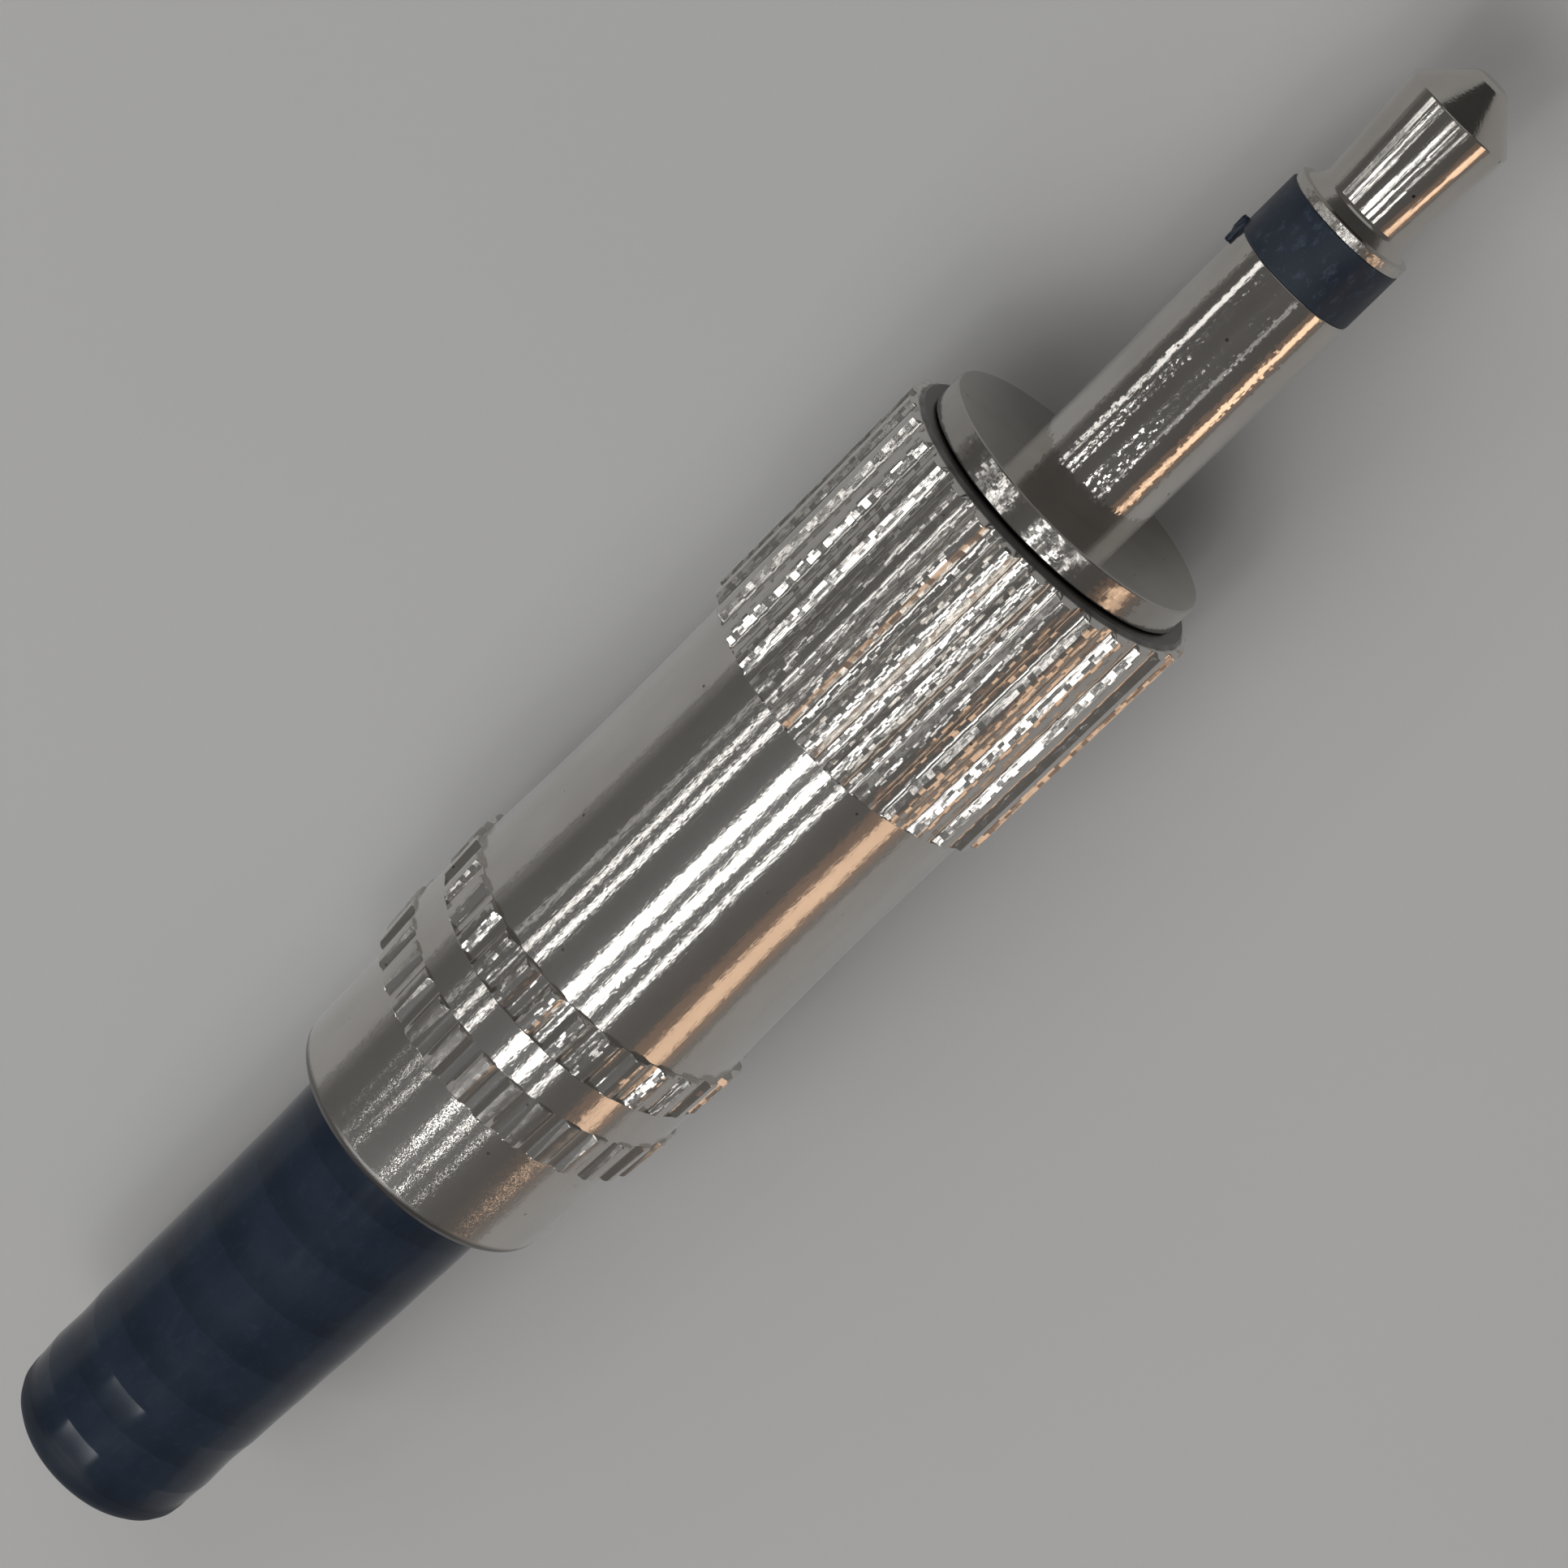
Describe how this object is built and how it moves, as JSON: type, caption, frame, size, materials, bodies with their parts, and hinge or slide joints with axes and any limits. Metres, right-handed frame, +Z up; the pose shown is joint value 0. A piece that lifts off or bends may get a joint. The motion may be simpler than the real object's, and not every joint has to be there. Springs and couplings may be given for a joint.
{
  "type": "mono jack plug",
  "caption": "Slim mono audio plug: turned pin with insulated tip, collar, knurled screw-on metal shell and ribbed black cord boot.",
  "frame": {"origin": "centre of the collar's front face, where the pin leaves it", "axes": "+X along the pin towards the tip, +Z up with the plug lying on its side on its knurls"},
  "size_m": [0.0542, 0.0094, 0.0094],
  "materials": {
    "nickel_plate": "bright nickel plate on turned brass, with fine pits and turning marks",
    "insulator_black": "moulded navy-black plastic, slightly scuffed",
    "washer_fibre": "pressed fibre",
    "tinned_brass": "tinned sheet brass",
    "liner_plastic": "thin milky plastic",
    "boot_pvc": "soft navy-black PVC, satin"
  },
  "bodies": {
    "plug_core": {"tip_contact": "nickel_plate", "front_insulator": "insulator_black", "sleeve": "nickel_plate", "rear_washer": "washer_fibre", "tip_tag": "tinned_brass", "sleeve_tag": "tinned_brass"},
    "boot": {"boot": "boot_pvc"},
    "shell": {"shell": "nickel_plate", "liner": "liner_plastic"}
  },
  "joints": [
    {"name": "boot_draw", "type": "slide", "parent": "plug_core", "child": "boot", "axis": [-1, 0, 0], "range_m": [0, 0.0045]},
    {"name": "shell_unscrew", "type": "hinge", "parent": "boot", "child": "shell", "pos_m": [0, 0, 0], "axis": [-1, 0, 0], "range_deg": [0, 2160]}
  ],
  "couplings": [
    {"joint": "boot_draw", "follows": "shell_unscrew", "m_per_rad": 0.00011936}
  ]
}
